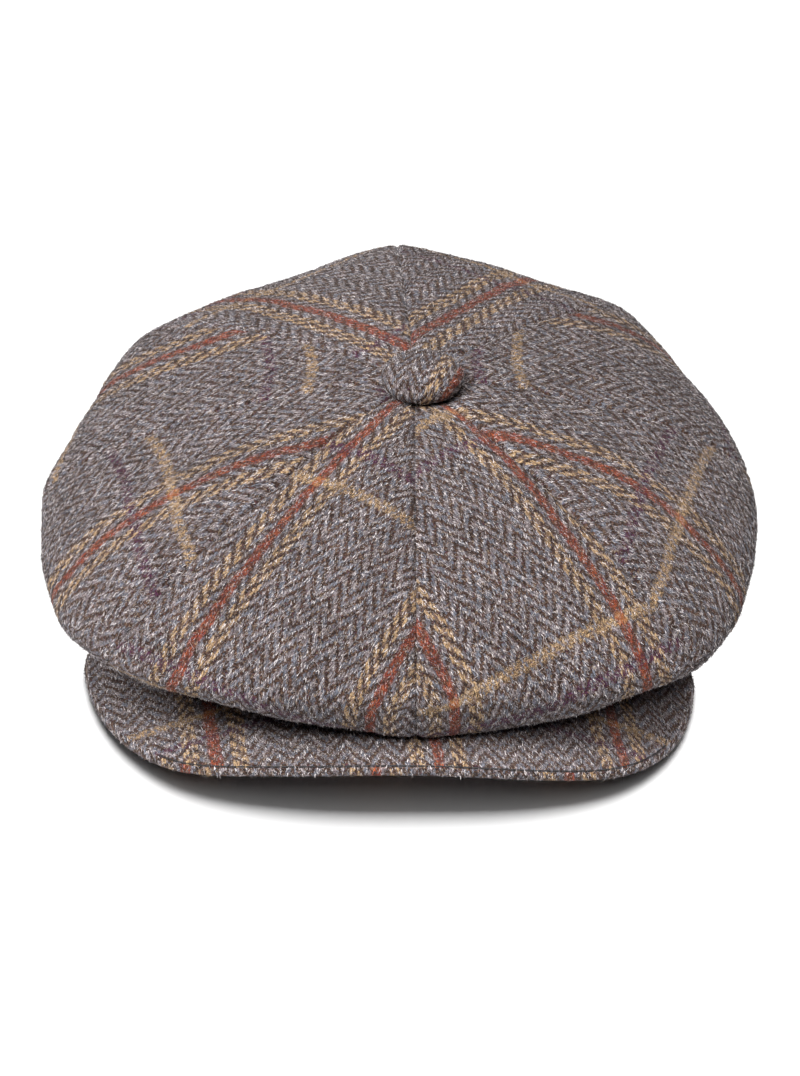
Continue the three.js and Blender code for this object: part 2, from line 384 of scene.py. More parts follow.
def herringbone(s, l):
    """How far the warp stands over the weft, from -1 to 1, and the roundness of end and pick."""
    end = (s / END + 1).maths("FLOOR")
    column = (end / COLUMN_ENDS).maths("FLOOR")
    odd = column.maths("FLOORED_MODULO", 2.0)
    place = end - column * COLUMN_ENDS
    phase = (l / PICK + place * (odd * -2 + 1)) / 4 + odd * 0.5
    from_end = ((s / END).maths("FRACT") - 0.5) * 2
    from_pick = ((l / PICK).maths("FRACT") - 0.5) * 2
    return (phase * (2 * math.pi)).maths("SINE"), from_end * from_end, from_pick * from_pick


def check_stripes(s, l):
    across = s.maths("WRAP", CHECK["warp"] / 2, -CHECK["warp"] / 2).size()
    along = l.maths("WRAP", CHECK["weft"] / 2, -CHECK["weft"] / 2)
    from_pair = (across - CHECK["straw_ends"]).size()
    return {
        "rust": across.below(1.2, 2.2),
        "straw_ends": (from_pair - CHECK["straw_apart"]).size().below(0.75, 1.12),
        "brown_end": from_pair.below(0.15, 0.40),
        "straw": along.size().below(1.5, 2.6),
        "plum": (along - CHECK["plum"]).size().below(1.5, 2.6),
    }


print("check repeats every", round(CHECK["warp"], 1), "by", CHECK["weft"], "mm")

# %% [markdown]
# Now the yarns get their fibres. Two stretched noises stand for them, one along the warp and one along the
# weft. The same noises roughen the edges of the weave, vary the colour and drive the bump, so light and
# colour agree. The rule is a function, because the cloth and the loose fibres on it both need it: a fibre
# has the colour of the yarn that it comes from.

# %% The weave
def new_material(name, values):
    """A material with some of its shader's inputs set, its tree and its shader."""
    material = bpy.data.materials.new(name)
    material.use_nodes = True
    shader = material.node_tree.nodes["Principled BSDF"]
    for label, value in values.items():
        shader.inputs[label].default_value = value
    return material, material.node_tree, shader


def cloth_place(tree):
    """Millimetres across and along the warp, from the piece's own map."""
    node = tree.nodes.new("ShaderNodeUVMap")
    node.uv_map = "cloth"
    s, l, _ = apart(tree, node.outputs[0])
    return s * 1000, l * 1000


def loose_hairs(s, l, angle, layer):
    c, n = math.cos(math.radians(angle)), math.sin(math.radians(angle))
    along, across = s * c + l * n, l * c - s * n
    hair, tint, _ = wool(along * 0.55, across * 2.6, layer, 1.0)
    return hair.step(0.58, 0.68), tint


def weave(s, l):
    """Colour of the yarn that lies on top at a place on the cloth, with painted shade in the gaps, and what
    else the finish needs.
    """
    slow = wool(s * 0.06, l * 0.06, 1.0)
    fray = wool(s * 0.9, l * 0.6, 2.0, 2.0)
    hue = wool(s * 0.45, l * 0.25, 8.0, 1.0)
    s_wove = s + (slow[0] - 0.5) * 2.6 + (fray[0] - 0.5) * 1.2
    l_wove = l + (slow[1] - 0.5) * 2.6 + (fray[1] - 0.5) * 2.2
    along_warp = wool(s * 3.0, l * 1.0, 3.0, 2.0)
    along_weft = wool(s * 1.0, l * 3.0, 4.0, 2.0)
    end_tone = chance((s_wove / END).maths("FLOOR"), 1.0)
    pick_tone = chance((l_wove / PICK).maths("FLOOR"), 2.0)

    stripes = check_stripes(s_wove, l_wove)
    twill, end_edge, pick_edge = herringbone(s_wove, l_wove)
    twill = twill + pick_edge * 0.35 - end_edge * 0.35 + (along_warp[0] - along_weft[0]) * 2.1
    twill = twill + stripes["rust"] * 0.25 - stripes["straw"] * 0.6 - stripes["plum"] * 0.4
    warp_up = twill.step(-0.35, 0.45)

    pale = dye(hue[0].step(0.42, 0.58), DYES["warp_pale"], DYES["warp_blue"])
    warp = dye(along_warp[1].step(0.38, 0.62) * 0.8 + end_tone * 0.2, DYES["warp_dark"], pale)
    weft_tone = along_weft[1].step(0.36, 0.70) * 0.8 + pick_tone * 0.2
    weft = dye(weft_tone, DYES["weft_dark"], DYES["weft_pale"])
    straw = dye(along_warp[2].step(0.38, 0.60), DYES["straw_dark"], DYES["straw"])
    rust = dye(hue[1].step(0.42, 0.60), DYES["rust"], DYES["rust_bright"])
    rust = dye(along_warp[2].step(0.36, 0.60), DYES["rust_dark"], rust)
    warp = dye(stripes["straw_ends"] * 0.95, warp, straw)
    warp = dye(stripes["brown_end"] * 0.8, warp, DYES["weft_pale"])
    warp = dye(stripes["rust"] * 0.95, warp, rust)
    weft = dye(stripes["straw"] * along_weft[2].step(0.36, 0.54), weft, straw)
    weft = dye(stripes["plum"] * along_weft[2].step(0.42, 0.58), weft, DYES["plum"])
    weft = dye(stripes["rust"] * 0.3, weft, rust)
    colour = dye(warp_up, weft, warp)
    # painted shade: where the yarns part, the colour is darkened towards the dark weft, for the shade in the
    # gaps of the weave
    yarn_gap_shade = warp_up * end_edge + (warp_up * -1 + 1) * pick_edge
    colour = dye(yarn_gap_shade.step(0.40, 1.0) * 0.50, colour, DYES["weft_dark"])
    colour = dye(stripes["rust"] * stripes["straw"] * 0.5, colour, DYES["ember"])
    colour = dye(slow[2].step(0.35, 0.70) * 0.25, colour, DYES["weft_dark"])
    yarns = warp_up * 0.4 - end_edge * warp_up * 0.2 + along_warp[0] * 0.9 + along_weft[0] * 0.9
    return colour, yarns, warp_up, stripes["rust"] * -0.45 + 1


print("yarn colours:", len(DYES))

# %% [markdown]
# The last steps of the tweed: take the weave, scatter single dyed fibres, lay the loose hairs over them, and
# pass colour, bump and roughness to the shader.

# %% The tweed material
tweed, tree, shader = new_material("tweed", {
    "Specular IOR Level": 0.15, "Sheen Weight": 0.05, "Sheen Roughness": 0.5,
    "Sheen Tint": (0.86, 0.84, 0.83, 1),
})
s, l = cloth_place(tree)
colour, yarns, warp_up, plain = weave(s, l)
fleck = wool(s * 1.3, l * 1.0, 5.0, 2.0)
grain = wool(s * 2.6, l * 2.2, 9.0, 1.0)
first_hair, first_tint = loose_hairs(s, l, 58, 6.0)
second_hair, second_tint = loose_hairs(s, l, -62, 7.0)
fibre_coats = (
    ("weft_dark", grain[0].step(0.53, 0.64) * 0.60),
    ("plum", fleck[0].step(0.60, 0.68) * 0.45),
    ("cream", fleck[1].step(0.61, 0.69) * 0.35),
    ("blue", fleck[2].step(0.60, 0.68) * 0.45),
    ("white", first_hair * first_tint.step(0.42, 0.56) * 0.75 * plain * (warp_up * 0.6 + 0.4)),
    ("weft_dark", second_hair * second_tint.step(0.40, 0.54) * 0.80),
)
for name, share in fibre_coats:
    colour = dye(share, colour, DYES[name])
tree.links.new(colour, shader.inputs["Base Color"])

bump = tree.nodes.new("ShaderNodeBump")
bump.inputs["Strength"].default_value = 0.9
bump.inputs["Distance"].default_value = 0.6 * MM
feed(tree, bump.inputs["Height"], yarns + grain[1] * 0.6 + first_hair * 0.3)
tree.links.new(bump.outputs[0], shader.inputs["Normal"])
feed(tree, shader.inputs["Roughness"], grain[2] * 0.2 + 0.8)
print("tweed uses", len(tree.nodes), "nodes")

# %% [markdown]
# A piece of cloth here is a closed wall: an outer grid of points, an inner grid two millimetres below it and
# a border that joins them. The helper takes the points, the faces and each corner's place on the cloth. Sharp
# edges are found by angle, so the faces shade smoothly and the cut edges stay crisp. Each face also notes
# which way the warp runs on it, for the fibres that will lie along the yarns.

# %% Helpers that make pieces
SHARP = 50


def warp_ways(points, faces, cloth):
    """For each face the direction in space in which the warp runs, from three of its corners."""
    sizes = np.array([len(face) for face in faces])
    first = np.cumsum(sizes) - sizes
    trio = np.stack([first, first + 1, first + sizes - 1], -1)
    where = points[np.concatenate([np.array(face) for face in faces])[trio]]
    one, two = (where[:, 1:] - where[:, :1]).swapaxes(0, 1)
    a, b = (cloth[trio][:, 1:] - cloth[trio][:, :1]).swapaxes(0, 1)
    way = (a[:, :1] * two - b[:, :1] * one) * np.sign(a[:, :1] * b[:, 1:] - b[:, :1] * a[:, 1:])
    return (way / np.maximum(np.linalg.norm(way, axis=1, keepdims=True), 1e-9)).astype(np.float32).reshape(-1)


def finished_piece(name, points, faces, cloth, nap=None):
    """A mesh object in the cap's frame. cloth gives each corner's place on the cloth in millimetres."""
    mesh = bpy.data.meshes.new(name)
    points, cloth = np.asarray(points).reshape(-1, 3), np.asarray(cloth).reshape(-1, 2)
    mesh.from_pydata((points * MM + HOME).tolist(), [], faces)
    layer = mesh.uv_layers.new(name="cloth")
    layer.data.foreach_set("uv", (cloth.reshape(-1) * MM).astype(np.float32))
    if nap is not None:
        density = mesh.attributes.new("nap", "FLOAT", "POINT")
        density.data.foreach_set("value", np.asarray(nap, np.float32).reshape(-1))
        lay = mesh.attributes.new("warp", "FLOAT_VECTOR", "FACE")
        lay.data.foreach_set("vector", warp_ways(points, faces, cloth))
    mesh.materials.append(tweed)
    mesh.shade_smooth()
    mesh.set_sharp_from_angle(angle=math.radians(SHARP))
    mesh.validate()
    return placed(name, mesh)


def wall_faces(rows, columns):
    """Quads of a closed wall between two grids, outer first."""
    at = np.arange(rows * columns).reshape(rows, columns)
    a, b, c, d = at[:-1, :-1], at[1:, :-1], at[1:, 1:], at[:-1, 1:]
    outer = np.stack([a, b, c, d], -1).reshape(-1, 4)
    under = rows * columns
    inner = np.stack([a, d, c, b], -1).reshape(-1, 4) + under
    rim = np.concatenate([at[:-1, 0], at[-1, :-1], at[:0:-1, -1], at[0, :0:-1]])
    after = np.roll(rim, -1)
    border = np.stack([after, rim, rim + under, after + under], -1)
    return np.concatenate([outer, inner, border])


def tube_faces(rows, columns):
    """Quads of a tube of rings, by ring, and the two faces that close its ends."""
    at = np.arange(rows * columns).reshape(rows, columns)
    ahead = np.roll(at, -1, axis=1)
    quads = np.stack([at[:-1], ahead[:-1], ahead[1:], at[1:]], -1)
    return quads, [at[0, ::-1].tolist(), at[-1].tolist()]


def swell(points, waves):
    """A soft unevenness that depends only on the place, so it runs on across seams."""
    total = np.zeros(points.shape[:-1])
    for n, (length, height) in enumerate(waves):
        turn = 2.4 * n + 0.7
        lean = 0.5 * math.sin(1.7 * n)
        way = np.array([math.cos(turn), math.sin(turn), lean]) * (2 * math.pi / length)
        total += height * np.sin(points @ way + 1.9 * n)
    return total


print("piece helpers ready")

# %% [markdown]
# The gores. Each swells a little between its seams, sinks into a groove along them, and puckers slightly
# where the thread draws the cloth in. Broad shallow waves keep the crown from looking moulded. The puckers
# are strongest at the seam and die away within a finger's width. Cloth simulation could find such forms too,
# but a sewn and pressed crown hardly moves, and a rule keeps the outline where the pattern puts it.

# %% The eight gores
PUFF = 0.9
GROOVE = {"depth": 1.3, "width": 1.0, "power": 1.3, "full_from": 20.0, "least": 0.25}
PUCKER = {"height": 0.16, "step": 1.55, "drift": 6.1, "reach": 3.5}
BROAD = ((63, 0.28), (47, 0.24), (38, 0.20), (29, 0.13), (21, 0.09))
FINE = ((13.0, 0.05), (9.5, 0.045), (7.0, 0.04), (5.5, 0.03))
FREE = {"radius": 12.0, "over": 25.0, "to_row": 2.6, "fade": 0.6}
GORE_NAP = {"to_row": 2.3, "under": 0.25}
CAD_ROWS = (12, 7, 5)


def row_share(t):
    """Share of the way from the button to the band, in the pattern's rows."""
    dome, fold, under = CAD_ROWS
    done = dome * np.clip(t, 0, 1) + fold * np.clip(t - 1, 0, 1) + under * np.clip(t - 2, 0, 1)
    return done / sum(CAD_ROWS)


def make_gore(k, name):
    r, z, phi = gore_section(k, SHARES, ROWS)
    out_r, out_z = outward(r, z)
    points = in_space(r, z, phi)
    u, v, from_seam = flat_piece(points)
    body = np.sin(np.pi * row_share(ROWS)) ** 2
    lift = PUFF * 4 * SHARES * (1 - SHARES) * body
    free = np.clip((r - FREE["radius"]) / FREE["over"], 0, 1)
    free = free * np.clip((FREE["to_row"] - ROWS) / FREE["fade"], 0, 1)
    lift = lift + swell(points, BROAD) * free + swell(points, FINE) * free
    groove = GROOVE["depth"] * np.exp(-((from_seam / GROOVE["width"]) ** GROOVE["power"]))
    groove = groove * np.clip(r / GROOVE["full_from"], GROOVE["least"], 1)
    ripple = np.sin(v / PUCKER["step"] + 1.3 * np.sin(v / PUCKER["drift"] + k))
    pucker = PUCKER["height"] * ripple * np.exp(-from_seam / PUCKER["reach"])
    lift = lift - groove + pucker * free
    r_top, z_top = r + out_r * lift, z + out_z * lift
    r_low, z_low = r_top - out_r * CLOTH_WALL, z_top - out_z * CLOTH_WALL
    clear = SEAM_CLEAR * (1 - 2 * SHARES)
    outer = in_space(r_top, z_top, phi + clear / r_top)
    inner = in_space(r_low, z_low, phi + clear / np.maximum(r_low, 3))
    faces = wall_faces(*r.shape)
    place = on_cloth(name, u, v).reshape(-1, 2)
    corners = np.concatenate([place, place])[faces.reshape(-1)]
    nap = np.concatenate([np.where(ROWS < GORE_NAP["to_row"], 1, GORE_NAP["under"]) + 0 * r, 0 * r])
    points = np.concatenate([outer.reshape(-1, 3), inner.reshape(-1, 3)])
    return finished_piece("cloth_" + name, points, faces.tolist(), corners, nap)


gores = {name: make_gore(k, name) for k, name in enumerate(GORES)}
for name, piece in gores.items():
    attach(piece, "root")
    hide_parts(name)
print({name: len(piece.data.polygons) for name, piece in gores.items()})

# %% [markdown]
# The button is a metal shell with a disc of the same cloth pressed over it, so it has a flat underside, a
# rolled rim and a low dome. A profile turned round its axis gives that. It is covered by hand, and so it is
# not quite round and the cloth lies at a slant. Its cloth map is the disc that was cut: distance from the
# middle along the surface, and the angle.

# %% The covered button
button_low, button_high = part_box("top_button")
BUTTON = {
    "sides": 96, "middle": 0.6, "rim": 3.0, "square": 2.4, "slant": 20.0, "rust_at": 13.7, "straw_at": 40.0,
}


def button_profile(radius, height):
    rim = BUTTON["rim"]
    turn = np.linspace(0, np.pi / 2, 13)
    under = np.stack([radius - rim * (1 - np.sin(turn)), rim * (1 - np.cos(turn))], -1)
    up, out = np.sin(turn) ** (2 / BUTTON["square"]), np.cos(turn) ** (2 / BUTTON["square"])
    over = np.stack([radius * out, rim + (height - rim) * up], -1)
    middle = BUTTON["middle"]
    return np.concatenate([[(middle, 0)], [(radius / 2, 0)], under, over[1:-1], [(middle, height)]])


def make_button():
    radius = (button_high.x - button_low.x) / MM / 2
    height = (button_high.z - button_low.z) / MM
    middle = (np.array(button_low) + np.array(button_high)) / 2
    middle[2] = button_low.z
    middle = (middle - HOME) / MM
    profile = button_profile(radius, height)
    angle = np.linspace(0, 2 * np.pi, BUTTON["sides"], endpoint=False)
    uneven = 1 - 0.012 * (1 + np.sin(3 * angle + 0.4)) - 0.006 * (1 + np.sin(7 * angle))
    r = profile[:, :1] * uneven[None, :]
    sag = 0.25 * np.sin(2 * angle + 0.6)[None, :] * (profile[:, 1:] / height) ** 2 * (profile[:, :1] / radius)
    points = np.stack([
        middle[0] + r * np.sin(angle), middle[1] - r * np.cos(angle),
        middle[2] + profile[:, 1:] - np.abs(sag) + 0 * r,
    ], -1)
    run = paced(profile[::-1])[::-1] + BUTTON["middle"]
    slant = math.radians(BUTTON["slant"])
    x, y = run[:, None] * np.sin(angle), -run[:, None] * np.cos(angle)
    s = x * math.cos(slant) - y * math.sin(slant) - BUTTON["rust_at"]
    l = BUTTON["straw_at"] - x * math.sin(slant) - y * math.cos(slant)
    quads, ends = tube_faces(*r.shape)
    faces = quads.reshape(-1, 4).tolist() + ends
    place = np.stack([s, l], -1).reshape(-1, 2)
    nap = (profile[:, 1:] > 0.5) + 0 * r
    corners = place[np.concatenate([np.array(f) for f in faces])]
    return finished_piece("cloth_top_button", points, faces, corners, nap)


button = make_button()
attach(button, "root")
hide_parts("top_button")
print("button is", round((button_high.x - button_low.x) / MM, 1), "mm across")

# %% [markdown]
# The peak is a board between two layers of tweed that are sewn together round the edge. The top layer ends
# in a narrow groove at the edge's upper corner, where the stitches lie, and the lower layer wraps up over
# the edge to meet it. So the two layers get different places on the cloth, and their stripes do not line up.
# The section is drawn once, from the band out over the top, round the edge and back underneath, and
# repeated along the curve.

# %% The outline of the peak
PEAK = {"front": -141.6, "widest": -41.0, "thick": 4.0, "end": 66.0, "taper": 0.86, "tip": 0.1}
PEAK_SIDES = {
    -1: {"half_width": 108.0, "square": 2.7, "corner": 74, "wide": 22, "full": 2.2, "low": 1.0},
    1: {"half_width": 102.0, "square": 3.5, "corner": 74, "wide": 16, "full": 0.6, "low": 0.3},
}
PEAK_RISE = {"front": 18.5, "droop": 18.0, "slope": 0.06}


def peak_edge(a):
    side = PEAK_SIDES[-1 if a < 0 else 1]
    angle = a * math.pi / 2
    share = math.copysign(abs(math.sin(angle)) ** (2 / side["square"]), a)
    y = PEAK["widest"] + (PEAK["front"] - PEAK["widest"]) * abs(math.cos(angle)) ** (2 / side["square"])
    z = PEAK_RISE["front"] - PEAK_RISE["droop"] * share**2 + PEAK_RISE["slope"] * (y - PEAK["front"])
    x = side["half_width"] * share
    corner = math.exp(-(((abs(x) - side["corner"]) / side["wide"]) ** 2))
    return np.array([x, y - side["full"] * corner, z - side["low"] * corner])


def peak_ends(a):
    """Root at the band and outer edge of the peak's top at a, from -1 on the left to 1 on the right."""
    q = a * math.radians(PEAK["end"])
    x = (BAND["half_width"] + SEAM_GAP) * math.sin(q)
    y = BAND["y"] - (BAND["half_length"] + SEAM_GAP) * math.cos(q)
    root = np.array([x, y, float(band_edge(np.array(q))) + PEAK["thick"]])
    past = max(0.0, (abs(a) - PEAK["taper"]) / (1 - PEAK["taper"]))
    return root, root + (peak_edge(a) - root) * max(PEAK["tip"], math.sqrt(1 - past**2))


print("peak reaches", [round(float(x), 1) for x in peak_edge(0.0)], "mm in front")

# %% [markdown]
# Distances from the edge matter more than shares here, because the groove and the roll of the edge keep
# their size all the way round. So each section takes the direction from band to edge, and lays the same
# small profile at its end. Towards the ends of the peak, where it runs out to a tip, the profile shrinks.
# At the sides the seam rolls under the edge, so the groove fades out there and the stitches stop.

# %% Build the peak
SEWN = {"from": -84.0, "to": 96.0, "fade": 14.0}
SEAM = {"depth": 0.80, "from_edge": 0.75, "width": 0.5}
BOARD = {"full_from": 14.0, "rows": 14, "puff": 0.35, "low_inset": 3.0, "low_rows": 10}
NOSE_COLUMNS = ("out", "sewn", "plain")
NOSE = dict(zip(NOSE_COLUMNS, np.array([
    (-0.75, -0.85, -0.12), (-0.45, -0.55, -0.28), (-0.12, -0.75, -0.60), (0.12, -1.3, -1.2),
    (0.22, -2.0, -2.0), (0.14, -3.0, -3.0), (-0.15, -3.8, -3.8), (-0.8, -4.3, -4.3), (-1.8, -4.5, -4.5),
]).T))
INSET = np.array([7.0, 5.0, 3.6, 2.6, 1.9, 1.45, 1.15, 0.95])
PEAK_CLOTH = {
    "rust_at": 12.4, "lean": 0.14, "lean_from": -130.0, "spread": (0.942, 0.00095),
    "straw_at": -100.0, "sag": 0.0019, "stretch": 1.2,
}
UNDER_CLOTH = {"rust_at": -6.3, "straw_at": -20.0}
PEAK_NAP = {"from_band": 6, "past_edge": 6, "seam": 4, "tips": 18}
PEAK_ALONG = np.sin(np.linspace(-1, 1, 241) * np.pi / 2 * 0.93) / math.sin(np.pi / 2 * 0.93)


def seam_shows(x):
    """1 where the stitched groove lies on top of the edge, 0 at the sides, where it rolls under."""
    return np.clip(np.minimum(x - SEWN["from"], SEWN["to"] - x) / SEWN["fade"], 0, 1)


def peak_section(a):
    root, edge = peak_ends(a)
    way = edge - root
    reach = float(np.linalg.norm(way))
    way = way / reach
    shrink = min(1.0, reach / BOARD["full_from"])
    inner = np.linspace(0, reach - INSET[0] * shrink, BOARD["rows"])[:-1]
    runs = np.concatenate([inner, reach - INSET * shrink])
    top = root + runs[:, None] * way
    puff = BOARD["puff"] * np.sin(np.pi * np.clip(runs / reach, 0, 1)) ** 0.7
    sewn = float(seam_shows(edge[0]))
    from_seam = ((reach - runs) / shrink - SEAM["from_edge"]) / SEAM["width"]
    top[:, 2] += puff - SEAM["depth"] * sewn * np.exp(-from_seam ** 2)
    flat = np.array([way[0], way[1], 0]) / max(1e-6, math.hypot(way[0], way[1]))
    nose = edge + (NOSE["out"] * shrink)[:, None] * flat
    nose[:, 2] += NOSE["sewn"] * sewn + NOSE["plain"] * (1 - sewn)
    low_runs = np.linspace(reach - BOARD["low_inset"] * shrink, 0, BOARD["low_rows"])
    low = root + low_runs[:, None] * way
    low[:, 2] -= PEAK["thick"]
    return np.concatenate([top, nose, low]), len(runs)


def peak_cloth(points):
    """Place of the top layer on the cloth."""
    x, y = points[:, 0], points[:, 1]
    d = x + PEAK_CLOTH["lean"] * (y - PEAK_CLOTH["lean_from"]) - PEAK_CLOTH["rust_at"]
    s = PEAK_CLOTH["spread"][0] * d + PEAK_CLOTH["spread"][1] * d**2
    l = (PEAK_CLOTH["straw_at"] - PEAK_CLOTH["sag"] * x**2 - y) * PEAK_CLOTH["stretch"]
    return np.stack([s, l], -1)


def make_peak():
    sections = [peak_section(a) for a in PEAK_ALONG]
    top_count = sections[0][1]
    grid = np.array([section for section, _ in sections])
    count, size = grid.shape[:2]
    points = grid.reshape(-1, 3)
    faces, ends = tube_faces(count, size)
    upper = np.zeros(faces.shape[:2], bool)
    upper[:, :top_count] = True
    faces, upper = faces.reshape(-1, 4), upper.reshape(-1)
    run = paced(grid)
    past_seam = (run - run[:, top_count:top_count + 1]).reshape(-1)
    below = np.stack([points[:, 0] - UNDER_CLOTH["rust_at"], past_seam - UNDER_CLOTH["straw_at"]], -1)
    above = peak_cloth(points)
    corners = np.where(upper[:, None, None], above[faces], below[faces]).reshape(-1, 2)
    corners = np.concatenate([corners, below[ends[0]], below[ends[1]]])
    nap = np.zeros((count, size))
    nap[:, PEAK_NAP["from_band"]:top_count + PEAK_NAP["past_edge"]] = 1
    bare = seam_shows(grid[:, top_count - 1, 0]) > 0.5
    nap[bare, top_count - PEAK_NAP["seam"]:top_count + 1] = 0
    nap[:PEAK_NAP["tips"]] = nap[-PEAK_NAP["tips"]:] = 0
    piece = finished_piece("cloth_peak", points, faces.tolist() + ends, corners, nap)
    return piece, grid[:, top_count - 1]


peak, seam_line = make_peak()
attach(peak, "root")
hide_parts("peak")
print("peak has", len(peak.data.polygons), "faces")

# %% [markdown]
# The band that goes round the head is hidden by the crown and the peak, but it is what the cap rests on. It
# is a doubled strip of tweed with soft edges, sewn into an oval that arches up over the brow.

# %% The head band
BAND_ROUND = 585.0
OUTER_FACE = (
    (-0.7, 0.0), (-0.25, 0.18), (0.0, 0.7), (0.0, 7.0), (0.0, 14.0), (0.0, 21.0),
    (0.0, 27.3), (-0.25, 27.82), (-0.7, 28.0),
)
BAND_SECTION = np.array(OUTER_FACE + tuple((-BAND["wall"] - out, up) for out, up in OUTER_FACE[::-1]))


def make_band(sides=180):
    q = np.linspace(0, 2 * np.pi, sides, endpoint=False)
    out, up = BAND_SECTION[:, 0], BAND_SECTION[:, 1]
    x = (BAND["half_width"] + out[None, :]) * np.sin(q)[:, None]
    y = BAND["y"] - (BAND["half_length"] + out[None, :]) * np.cos(q)[:, None]
    z = band_edge(q)[:, None] + up[None, :]
    points = np.stack([x, y, z], -1).reshape(-1, 3)
    at = np.arange(x.size).reshape(x.shape)
    ahead = np.roll(at, -1, axis=0)
    faces = np.stack([at, ahead, np.roll(ahead, -1, axis=1), np.roll(at, -1, axis=1)], -1).reshape(-1, 4)
    arc = (np.arange(sides + 1) / sides * BAND_ROUND)[:, None]
    round_band = np.broadcast_to(arc, (sides + 1, len(out)))
    place = np.stack([round_band, np.broadcast_to(-up - out, round_band.shape)], -1)
    near, far = place[:-1], place[1:]
    corners = np.stack([near, far, np.roll(far, -1, axis=1), np.roll(near, -1, axis=1)], 2)
    return finished_piece("cloth_head_band", points, faces.tolist(), corners)


band = make_band()
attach(band, "root")
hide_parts("head_band")
print("band has", len(band.data.polygons), "faces")

# %% [markdown]
# Geometry Nodes suit whatever repeats along a line or over a surface. A tree is built here with named
# inputs, put on an object as a modifier, evaluated, and turned into a plain mesh. Inputs are set by their
# identifier before the first evaluation, because a name may appear twice and an identifier may not.

# %% Helpers for Geometry Nodes
def node_tree(name, inputs):
    """An empty geometry tree with named number inputs, and its input and output nodes."""
    tree = bpy.data.node_groups.new(name, "GeometryNodeTree")
    tree.interface.new_socket("Geometry", in_out="INPUT", socket_type="NodeSocketGeometry")
    tree.interface.new_socket("Geometry", in_out="OUTPUT", socket_type="NodeSocketGeometry")
    for label, value in inputs.items():
        kind = "NodeSocketInt" if isinstance(value, int) else "NodeSocketFloat"
        tree.interface.new_socket(label, in_out="INPUT", socket_type=kind).default_value = value
    return tree, tree.nodes.new("NodeGroupInput"), tree.nodes.new("NodeGroupOutput")


def add_node(tree, kind, settings=(), links=()):
    """A node with its settings and its inputs, given as values or as sockets."""
    node = tree.nodes.new(kind)
    for key, value in dict(settings).items():
        setattr(node, key, value)
    for key, value in dict(links).items():
        if isinstance(value, bpy.types.NodeSocket):
            tree.links.new(value, node.inputs[key])
        else:
            node.inputs[key].default_value = value
    return node


def worked(tree, operation, first, second):
    """One sum in a geometry tree."""
    return add_node(tree, "ShaderNodeMath", {"operation": operation}, {0: first, 1: second}).outputs[0]


def grown(name, base, tree, values):
    """Runs a tree on a base mesh and keeps the result as a plain mesh object."""
    piece = placed(name, base)
    modifier = piece.modifiers.new("grow", "NODES")
    modifier.node_group = tree
    for item in tree.interface.items_tree:
        if item.in_out == "INPUT" and item.name in values:
            modifier[item.identifier] = values[item.name]
    bpy.context.view_layer.update()
    seen = piece.evaluated_get(bpy.context.evaluated_depsgraph_get())
    mesh = bpy.data.meshes.new_from_object(seen)
    piece.modifiers.clear()
    piece.data = mesh
    mesh.name = name
    return piece


print("geometry node helpers ready")

# %% [markdown]
# The stitches on the peak. Dark thread dips in and out along the groove, so each stitch is a small spindle,
# pointed where it enters the cloth. The tree turns the groove's line into a curve, takes a point for every
# stitch and sets a spindle along the curve there.

# %% The stitched edge of the peak
thread, tree, shader = new_material("seam_thread", {"Roughness": 0.7})
x, y, _ = apart(tree, tree.nodes.new("ShaderNodeTexCoord").outputs["Object"])
ply = wool(x * 2600, y * 2600, 1.0)
colour = dye(ply[0].step(0.35, 0.65), (0.006, 0.005, 0.006), (0.030, 0.026, 0.028))
tree.links.new(colour, shader.inputs["Base Color"])

stitch_sizes = {"Stitch length": 2.95 * MM, "Thread radius": 0.32 * MM, "Step": 2.9 * MM}
tree, given, result = node_tree("stitches", stitch_sizes)
line = add_node(tree, "GeometryNodeMeshToCurve", links={"Mesh": given.outputs["Geometry"]})
marks = add_node(tree, "GeometryNodeCurveToPoints", {"mode": "LENGTH"}, {
    "Curve": line.outputs[0], "Length": given.outputs["Step"],
})
shape = add_node(tree, "ShaderNodeCombineXYZ", links={
    "X": given.outputs["Thread radius"], "Y": given.outputs["Thread radius"],
    "Z": worked(tree, "MULTIPLY", given.outputs["Stitch length"], 0.5),
})
SPINDLE = {"Segments": 8, "Rings": 6, "Radius": 1.0}
spindle = add_node(tree, "GeometryNodeMeshUVSphere", links=SPINDLE)
slim = add_node(tree, "GeometryNodeTransform", links={
    "Geometry": spindle.outputs["Mesh"], "Scale": shape.outputs[0],
})
sewn = add_node(tree, "GeometryNodeInstanceOnPoints", links={
    "Points": marks.outputs["Points"], "Instance": slim.outputs[0], "Rotation": marks.outputs["Rotation"],
})
real = add_node(tree, "GeometryNodeRealizeInstances", links={"Geometry": sewn.outputs[0]})
painted = add_node(tree, "GeometryNodeSetMaterial", links={"Geometry": real.outputs[0], "Material": thread})
smooth = add_node(tree, "GeometryNodeSetShadeSmooth", links={"Geometry": painted.outputs[0]})
tree.links.new(smooth.outputs[0], result.inputs["Geometry"])

STITCH_LIFT = np.array([0, 0, 0.24])
groove = bpy.data.meshes.new("groove")
stitched = seam_line[seam_shows(seam_line[:, 0]) > 0.5]
stitch_points = (stitched + STITCH_LIFT) * MM + HOME
groove.from_pydata(stitch_points.tolist(), [(i, i + 1) for i in range(len(stitch_points) - 1)], [])
stitches = grown("peak_stitches", groove, tree, stitch_sizes)
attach(stitches, "root")
print("stitches:", len(stitches.data.polygons) // (SPINDLE["Segments"] * SPINDLE["Rings"]))

# %% [markdown]
# Woollen cloth has a nap: loose fibres stand out of the surface and blur its outline. Hair particles would
# do it in a picture but would be lost on export, so Geometry Nodes plant thin spikes instead. A point keeps
# the place on the cloth that it was planted on, and so a fibre has the colour of its yarn: one on a rust
# stripe is rust. Some are darker, mostly between the warp floats, and some paler, mostly on top of them:
# partly the fibres' own tones, partly painted shade between the floats and painted highlight on them.

# %% The colour of loose fibres
nap_wool, tree, shader = new_material("loose_wool", {"Specular IOR Level": 0.2, "Sheen Weight": 0.2})


